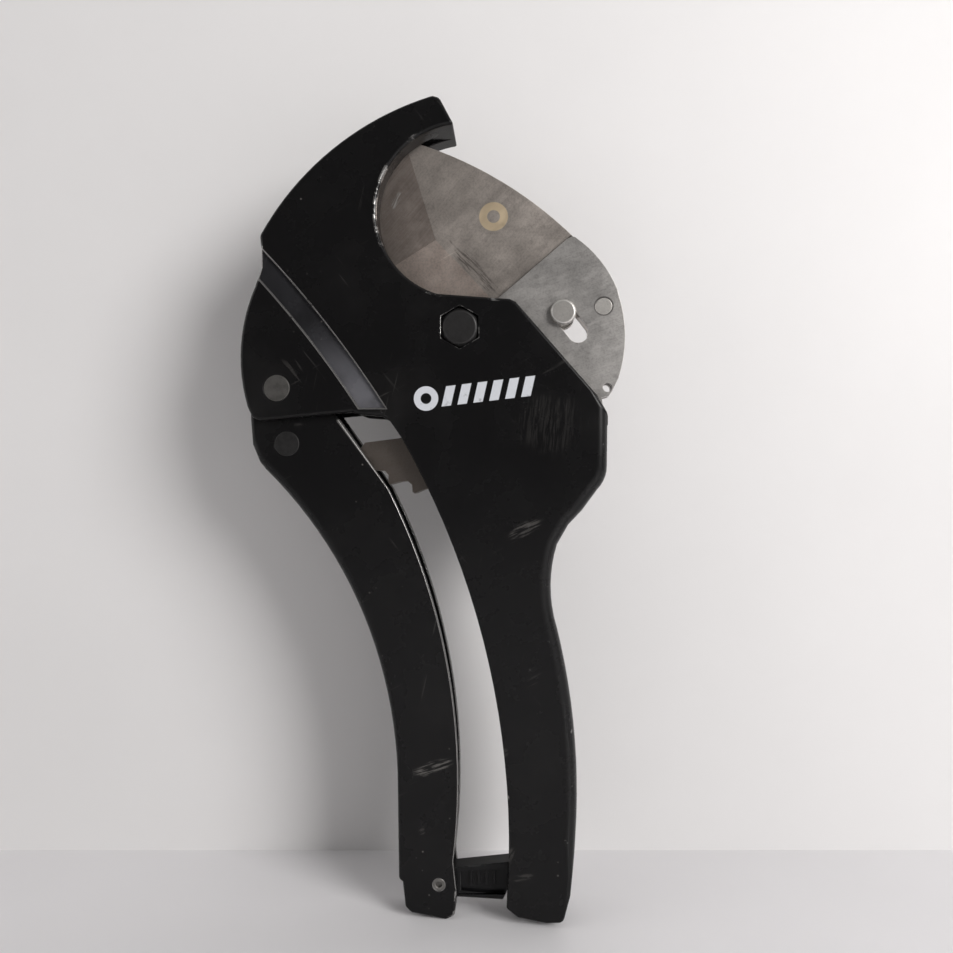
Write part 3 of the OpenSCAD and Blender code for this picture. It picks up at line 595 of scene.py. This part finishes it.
def finish_piece(piece, node, body, wear=None, smooth=34.0):
    """Marks the rounded faces, smooths the shading, and puts the piece on its body in place of its CAD node."""
    mesh = piece.data
    store_on_faces(mesh, "wear", lambda f: (wear(f.center / MM) if wear else 0.3) if f.material_index == 1 else 0.0)
    for face in mesh.polygons:
        face.material_index = 0
    while len(mesh.materials) > 1:
        mesh.materials.pop(index=len(mesh.materials) - 1)
    only(piece)
    bpy.ops.object.shade_smooth_by_angle(angle=math.radians(smooth))
    even = piece.modifiers.new("Even shading", "WEIGHTED_NORMAL")
    even.keep_sharp = True
    even.weight = 80
    bpy.ops.object.modifier_apply(modifier=even.name)
    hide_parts(node)
    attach(piece, body)


def smooth_copy(node, name, body, material):
    """A smoothly shaded copy of a CAD node, standing for it."""
    piece = copy_of(node, name)
    piece.data.materials.append(material)
    finish_piece(piece, node, body, smooth=60.0)
    return piece


def far(middle, place):
    """Distance in the plan from a place, in millimetres."""
    return math.hypot(middle[0] - place[0], middle[2] - place[1])


def ramp(value, low, high, at_low, at_high):
    """A value carried from one range to another, held at its ends."""
    share = min(1.0, max(0.0, (value - low) / (high - low)))
    return at_low + (at_high - at_low) * share


def in_groove(x, z):
    """Whether a place in the plan lies along the rims or the floor of the diagonal groove."""
    return abs(math.hypot(x + 342.7, z + 270.0) - 370.0) < 4.6 and z > -70.2


def settings():
    """The settings of this scene."""
    return bpy.context.scene.pipe_cutter


# ---- Operators ----

class PIPECUTTER_OT_casting(bpy.types.Operator):
    """Rounds and paints the body casting"""

    bl_idname = "pipecutter.casting"
    bl_label = "Body casting"

    def execute(self, context):
        s = settings()

        def width(middle, along_y, convex):
            x, y, z = middle
            depth = abs(y)
            if far(middle, PIVOT) < 9 or far(middle, HANDLE) < 5.4:
                return s.small_radius if depth > 6.9 else 0
            if far(middle, HOLD) < 3 or far(middle, CATCH) < 2.6:
                return s.small_radius if depth > 9.9 else 0
            if along_y:
                if not convex:
                    return 0
                if z < -243 and x > 25:
                    return 2.2 * MM
                return 0.9 * MM if z > -75 else 0.5 * MM
            if depth > 9.9:
                if in_groove(x, z) and x > -71.2:
                    return s.groove_radius
                if x > 20 and z < -62:
                    back = ramp(z, -84, -64, s.back_radius, s.rim_radius)
                    back = ramp(z, -240, -215, 0.9 * MM, back)
                    on_back = x > 33 or (z < -105 and x > 12 + 0.11 * (z + 250))
                    if z < -243:
                        return 0.7 * MM
                    if on_back:
                        return back
                if z < -76:
                    return 0.6 * MM
                return s.rim_radius
            if depth > 8.6:
                return 0.2 * MM if not convex else 0.4 * MM
            if convex and 6.8 < depth < 7.2:
                return 0.35 * MM
            if convex and 2.3 < depth < 2.7:
                return 0.35 * MM
            return 0

        def wear(middle):
            x, y, z = middle
            if in_groove(x, z):
                return 0.78
            if far(middle, PIVOT) < 9:
                return 0.62
            # rims round the jaw seat are paler, more so on the seat's left side
            if math.hypot(x, z) < 33:
                return 0.54 if x < -24 else 0.42
            return 0.3

        material = paint_material(s, "Black paint on the body", [
            ((22.0, -111.5), (7.0, 2.2), 25, 0.5),
            ((16.0, -226.0), (4.0, 2.0), 60, 0.35),
            ((20.0, -233.0), (5.0, 1.2), 10, 0.3),
            ((14.0, -190.0), (2.5, 2.0), 30, 0.25),
            ((30.0, -75.0), (12.0, 12.0), 85, 0.1),
        ], marked=True)
        piece = soften("body_casting", "body_casting_rounded", "casting", material, width, wear, 4)
        store_on_faces(piece.data, "floor", lambda f: 1.0 if abs(f.normal.y) > 0.9
                       and 8.7 < abs(f.center.y / MM) < 8.95 and in_groove(f.center.x / MM, f.center.z / MM) else 0.0)
        return {"FINISHED"}


class PIPECUTTER_OT_moving_handle(bpy.types.Operator):
    """Rounds and paints the moving handle"""

    bl_idname = "pipecutter.moving_handle"
    bl_label = "Moving handle"

    def execute(self, context):
        s = settings()

        def inner(x, z):
            return math.hypot(x + 231.1, z + 201.6) > 218.0 and -241 < z < -74

        def width(middle, along_y, convex):
            x, y, z = middle
            depth = abs(y)
            if far(middle, PAWL) < 5.2 or far(middle, LATCH) < 2.6 or far(middle, HANDLE) < 5.4:
                return 0.2 * MM if depth > 6.5 else 0
            if along_y:
                return 0.8 * MM if convex and depth < 6 else 0
            if depth > 6.6:
                if inner(x, z):
                    return 0.35 * MM
                if z < -241:
                    return 0.8 * MM
                back = ramp(z, -215, -130, 1.2 * MM, s.handle_radius)
                return ramp(z, -92, -74, back, 1.2 * MM)
            if convex and 4.0 < depth < 4.4:
                return 0.3 * MM
            return 0

        def wear(middle):
            x, y, z = middle
            if inner(x, z):
                return 0.95
            if z < -243:
                return 0.5
            return 0.25

        material = paint_material(s, "Black paint on the moving handle", [
            ((-10.5, -196.3), (7.5, 2.4), 18, 1.0),
            ((-15.0, -219.0), (1.5, 1.5), 30, 0.4),
            ((-60.0, -75.0), (3.0, 1.0), 5, 0.2),
        ])
        soften("moving_handle", "moving_handle_rounded", "handle", material, width, wear, 4)
        return {"FINISHED"}


class PIPECUTTER_OT_blade(bpy.types.Operator):
    """Finishes the blade with its ground facets"""

    bl_idname = "pipecutter.blade"
    bl_label = "Blade"

    def execute(self, context):
        s = settings()
        material = steel_material(s, "Blade steel", s.blade, 48, 0.36, 0.8, 0.5, blade=True,
                                  seams=[(PIVOT, math.radians(40.3))])

        def width(middle, along_y, convex):
            if along_y or not convex:
                return 0
            return s.steel_radius if abs(middle[1]) > 1.4 else 0

        piece = soften("blade", "blade_ground", "blade_carrier", material, width, lambda m: 0.5, 2)
        store_on_faces(piece.data, "ground", lambda f: 1.0 if 0.9 < abs(f.normal.y) < 0.9995 else 0.0)
        # marks the lower ground facet, painted lighter to stand for the light on it
        store_on_faces(piece.data, "lit_lower_facet", lambda f: 1.0 if f.normal.x > 1.3 * f.normal.z else 0.0)
        return {"FINISHED"}


class PIPECUTTER_OT_carrier(bpy.types.Operator):
    """Finishes the carrier plates and the toothed sector"""

    bl_idname = "pipecutter.carrier"
    bl_label = "Carrier and ratchet"

    def execute(self, context):
        s = settings()
        plate = steel_material(s, "Carrier steel", s.carrier, 20, 0.4, 0.75, 0.55, darker_centre=(-22, -92),
                               seams=[((49.7, -33), None)])
        teeth = steel_material(s, "Ratchet steel", s.ratchet, -40, 0.42, 0.7, 0.7)

        def width(middle, along_y, convex):
            if along_y or not convex:
                return 0
            return s.steel_radius if far(middle, PIVOT) > 7 else 0

        for side in ("front", "rear"):
            soften(f"carrier_plate_{side}", f"carrier_plate_{side}_finished", "blade_carrier",
                   plate, width, lambda m: 0.6, 2)
        soften("ratchet_sector", "ratchet_sector_finished", "blade_carrier", teeth,
               lambda m, a, c: 0.1 * MM if c and not a else 0, lambda m: 0.5, 2)
        return {"FINISHED"}


class PIPECUTTER_OT_fasteners(bpy.types.Operator):
    """Finishes the bolt, nut, rivets, pins and lock stud"""

    bl_idname = "pipecutter.fasteners"
    bl_label = "Fasteners"

    def execute(self, context):
        s = settings()
        bright, dark = tuple(s.fastener), tuple(s.dark_fastener)
        rows = [
            ("pivot_bolt", "casting", "fastener_dark", dark, PIVOT, 0.35, 0.5),
            ("pivot_nut", "casting", "fastener_dark", dark, PIVOT, 0.4, 0.5),
            ("handle_rivet", "casting", "fastener_bright", tuple(0.22 * c for c in bright), HANDLE, 0.3, 0.5),
            ("pawl_rivet", "handle", "fastener_dark", tuple(1.1 * c for c in dark), PAWL, 0.3, 0.45),
            ("lock_stud", "lock", "fastener_bright", bright, STUD, 0.3, 0.36),
            ("lock_stud_cap", "lock", "fastener_bright", bright, STUD, 0.4, 0.36),
            ("latch_pin", "handle", "fastener_bright", tuple(0.35 * c for c in bright), LATCH, 0.25, 0.4),
            ("catch_pin", "casting", "fastener_bright", tuple(0.4 * c for c in bright), CATCH, 0.25, 0.4),
            ("holding_pawl_pin", "casting", "fastener_bright", tuple(0.4 * c for c in bright), HOLD, 0.3, 0.4),
        ]
        for node, body, slot, colour, centre, size, rough in rows:
            material = round_head_material(s, node.replace("_", " ").capitalize(), colour, centre, rough)
            soften(node, node + "_finished", body, material,
                   lambda m, a, c, size=size: size * MM if c and not a else (0.15 * MM if c and a else 0),
                   lambda m: 0.5, 3)
        material = round_head_material(s, "Carrier rivets", tuple(1.15 * c for c in bright), (49.7, -33), 0.36)
        soften("carrier_rivets", "carrier_rivets_finished", "blade_carrier", material,
               lambda m, a, c: 0.25 * MM, lambda m: 0.0, 3)
        return {"FINISHED"}


class PIPECUTTER_OT_pawls(bpy.types.Operator):
    """Finishes the two pawls"""

    bl_idname = "pipecutter.pawls"
    bl_label = "Pawls"

    def execute(self, context):
        s = settings()
        material = steel_material(s, "Pawl steel", tuple(1.5 * c for c in s.ratchet), 30, 0.38, 0.8, 0.5)
        for node in ("drive_pawl", "holding_pawl"):
            soften(node, node + "_finished", node, material,
                   lambda m, a, c: 0.2 * MM if c and not a else 0, lambda m: 0.6, 2)
        return {"FINISHED"}


class PIPECUTTER_OT_hidden_parts(bpy.types.Operator):
    """Smooths the springs, sleeves and washers"""

    bl_idname = "pipecutter.hidden_parts"
    bl_label = "Springs, sleeves and washers"

    def execute(self, context):
        s = settings()
        wire = steel_material(s, "Spring wire", tuple(0.9 * c for c in s.fastener), 0, 0.3, 0.9, 0.3)
        for node, body in (("handle_spring", "handle"), ("pawl_spring", "drive_pawl"),
                           ("holding_pawl_spring", "holding_pawl"), ("latch_spring", "latch")):
            smooth_copy(node, node + "_smooth", body, wire)
        turned = steel_material(s, "Turned steel", s.fastener, 90, 0.32, 0.9, 0.3)
        for node in ("pivot_sleeve", "thrust_washers", "handle_sleeve"):
            soften(node, node + "_finished", "casting", turned,
                   lambda m, a, c: 0.12 * MM if c and not a else 0, lambda m: 0.5, 2)
        return {"FINISHED"}


class PIPECUTTER_OT_latch(bpy.types.Operator):
    """Finishes the latch and adds the ribs in its side recesses"""

    bl_idname = "pipecutter.latch"
    bl_label = "Latch"

    def execute(self, context):
        s = settings()
        material = plastic_material(s)
        soften("latch", "latch_finished", "latch", material,
               lambda m, a, c: 0.35 * MM if c and not a else (0.5 * MM if c else 0), lambda m: 0.6, 3)
        # one rib from a cube: narrowed, all edges rounded, then copied along the recess
        bpy.ops.object.select_all(action="DESELECT")
        bpy.ops.mesh.primitive_cube_add(size=1 * MM, location=(0, 0, 0))
        first = bpy.context.object
        first.name = "latch_rib"
        bpy.ops.object.mode_set(mode="EDIT")
        bpy.ops.mesh.select_all(action="SELECT")
        bpy.ops.transform.resize(value=(0.9, 1.3, 5.4), center_override=(0, 0, 0))
        bpy.ops.mesh.bevel(offset=0.18 * MM, segments=2)
        bpy.ops.object.mode_set(mode="OBJECT")
        first.data.materials.append(material)
        made = [first]
        for index, (x, z) in enumerate(((2.6, -236.9), (5.4, -236.6), (8.2, -236.4), (11.0, -236.2))):
            for side in (-1, 1):
                if index == 0 and side == -1:
                    rib = first
                else:
                    only(first)
                    bpy.ops.object.duplicate()
                    rib = bpy.context.object
                    made.append(rib)
                rib.name = f"latch_rib_{index + 1}_{'front' if side < 0 else 'rear'}"
                rib["at"] = (x * MM, side * 2.55 * MM, z * MM)
        for rib in made:
            only(rib)
            bpy.ops.object.mode_set(mode="EDIT")
            bpy.ops.mesh.select_all(action="SELECT")
            bpy.ops.transform.translate(value=tuple(rib["at"]))
            bpy.ops.object.mode_set(mode="OBJECT")
            del rib["at"]
            store_on_faces(rib.data, "wear", lambda f: 0.3)
            bpy.ops.object.shade_smooth_by_angle(angle=math.radians(40))
            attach(rib, "latch")
        return {"FINISHED"}


class PIPECUTTER_OT_stage(bpy.types.Operator):
    """Puts up the table, the wall, the lights and the camera"""

    bl_idname = "pipecutter.stage"
    bl_label = "Stage"

    def execute(self, context):
        s = settings()
        scene = context.scene
        floor_z = SIZE_AT_START[0][2]
        wall_y = 44 * MM
        for name, colour in (("Table", s.table), ("Wall", s.wall)):
            bpy.ops.object.select_all(action="DESELECT")
            bpy.ops.mesh.primitive_plane_add(size=1, location=(0, 0, 0))
            sheet = context.object
            sheet.name = name.lower()
            bpy.ops.object.mode_set(mode="EDIT")
            bpy.ops.mesh.select_all(action="SELECT")
            bpy.ops.transform.resize(value=(4, 4, 4), center_override=(0, 0, 0))
            if name == "Table":
                bpy.ops.transform.translate(value=(0, wall_y - 2, floor_z))
            else:
                bpy.ops.transform.rotate(value=math.radians(-90), orient_axis="X", center_override=(0, 0, 0))
                bpy.ops.transform.translate(value=(0, wall_y, floor_z + 2))
            bpy.ops.transform.rotate(value=-s.camera_turn, orient_axis="Z", center_override=(0, 0, 0))
            bpy.ops.object.mode_set(mode="OBJECT")
            material, tree, shader, place = start_material(name)
            mottle = noise(tree, place, 9.0, 5.0)
            shade = blend(tree, smooth_range(tree, mottle, 0.3, 0.7, 0.0, 0.35), tuple(colour),
                          tuple(0.93 * c for c in colour))
            tree.links.new(shade, shader.inputs["Base Color"])
            shader.inputs["Roughness"].default_value = 0.55 if name == "Wall" else 0.35
            shader.inputs["Specular IOR Level"].default_value = 0.3
            set_bump(tree, shader, noise(tree, place, 900.0, 2.0), 0.15, 0.05 * MM)
            if name == "Wall":
                output = next(n for n in tree.nodes if n.type == "OUTPUT_MATERIAL")
                front = add_node(tree, "ShaderNodeMixShader",
                                 {0: add_node(tree, "ShaderNodeNewGeometry").outputs["Backfacing"]})
                tree.links.new(shader.outputs[0], front.inputs[1])
                tree.links.new(add_node(tree, "ShaderNodeBsdfTransparent").outputs[0], front.inputs[2])
                tree.links.new(front.outputs[0], output.inputs["Surface"])
            sheet.data.materials.append(material)

        def area(name, place, target, size, power, colour=(1, 1, 1)):
            light = bpy.data.lights.new(name, "AREA")
            light.shape = "DISK"
            light.size = size
            light.energy = power
            light.color = colour
            lamp = bpy.data.objects.new(name, light)
            scene.collection.objects.link(lamp)
            lamp.location = place
            lamp.rotation_euler = (Vector(target) - Vector(place)).to_track_quat("-Z", "Y").to_euler()

        area("Key light", (0.9, -0.78, 0.36), (0, 0, -0.1), 0.62, s.key_power, (1, 0.985, 0.97))
        area("Side light", (-0.9, -0.35, 0.1), (0, 0, -0.12), 0.8, s.key_power * 0.12, (1, 0.985, 0.97))

        world = bpy.data.worlds.new("Room")
        scene.world = world
        world.use_nodes = True
        tree = world.node_tree
        room = next(n for n in tree.nodes if n.type == "BACKGROUND")
        way = add_node(tree, "ShaderNodeSeparateXYZ", {0: add_node(tree, "ShaderNodeTexCoord").outputs["Generated"]})
        front = smooth_range(tree, way.outputs["Y"], -1.0, -0.3, 0.05, 0.4)
        tree.links.new(front, room.inputs["Strength"])
        room.inputs["Color"].default_value = (1, 0.985, 0.975, 1)

        camera = bpy.data.cameras.new("Camera")
        camera.lens = s.camera_lens
        camera.sensor_width = 36
        camera.sensor_fit = "HORIZONTAL"
        camera.clip_start = 0.01
        camera.dof.use_dof = False
        eye = bpy.data.objects.new("Camera", camera)
        scene.collection.objects.link(eye)
        turn = s.camera_turn
        reach = 266 * MM
        aim = Vector((4.9 * MM, -10 * MM, -93.3 * MM))
        eye.location = aim - reach * Vector((-math.sin(turn), math.cos(turn), 0))
        eye.rotation_euler = (math.radians(90), 0, turn)
        scene.camera = eye
        scene.view_settings.view_transform = "Standard"
        return {"FINISHED"}


class PIPECUTTER_PT_panel(bpy.types.Panel):
    """Settings and steps of the pipe cutter"""

    bl_label = "Pipe cutter"
    bl_idname = "PIPECUTTER_PT_panel"
    bl_space_type = "VIEW_3D"
    bl_region_type = "UI"
    bl_category = "Pipe cutter"

    def draw(self, context):
        for name in PipeCutterSettings.__annotations__:
            self.layout.prop(context.scene.pipe_cutter, name)
        for step in STEPS:
            self.layout.operator(step.bl_idname)


STEPS = (
    PIPECUTTER_OT_casting, PIPECUTTER_OT_moving_handle, PIPECUTTER_OT_blade, PIPECUTTER_OT_carrier,
    PIPECUTTER_OT_fasteners, PIPECUTTER_OT_pawls, PIPECUTTER_OT_hidden_parts, PIPECUTTER_OT_latch,
    PIPECUTTER_OT_stage,
)


def register():
    """Registers the settings, the operators and the panel."""
    bpy.utils.register_class(PipeCutterSettings)
    bpy.types.Scene.pipe_cutter = bpy.props.PointerProperty(type=PipeCutterSettings)
    for step in STEPS:
        bpy.utils.register_class(step)
    bpy.utils.register_class(PIPECUTTER_PT_panel)


def unregister():
    """Takes away what register() added."""
    bpy.utils.unregister_class(PIPECUTTER_PT_panel)
    for step in reversed(STEPS):
        bpy.utils.unregister_class(step)
    del bpy.types.Scene.pipe_cutter
    bpy.utils.unregister_class(PipeCutterSettings)


def main():
    """Builds every piece and the stage."""
    register()
    make_groups()
    for step in STEPS:
        group, name = step.bl_idname.split(".")
        getattr(getattr(bpy.ops, group), name)()


if __name__ == "__main__":
    main()
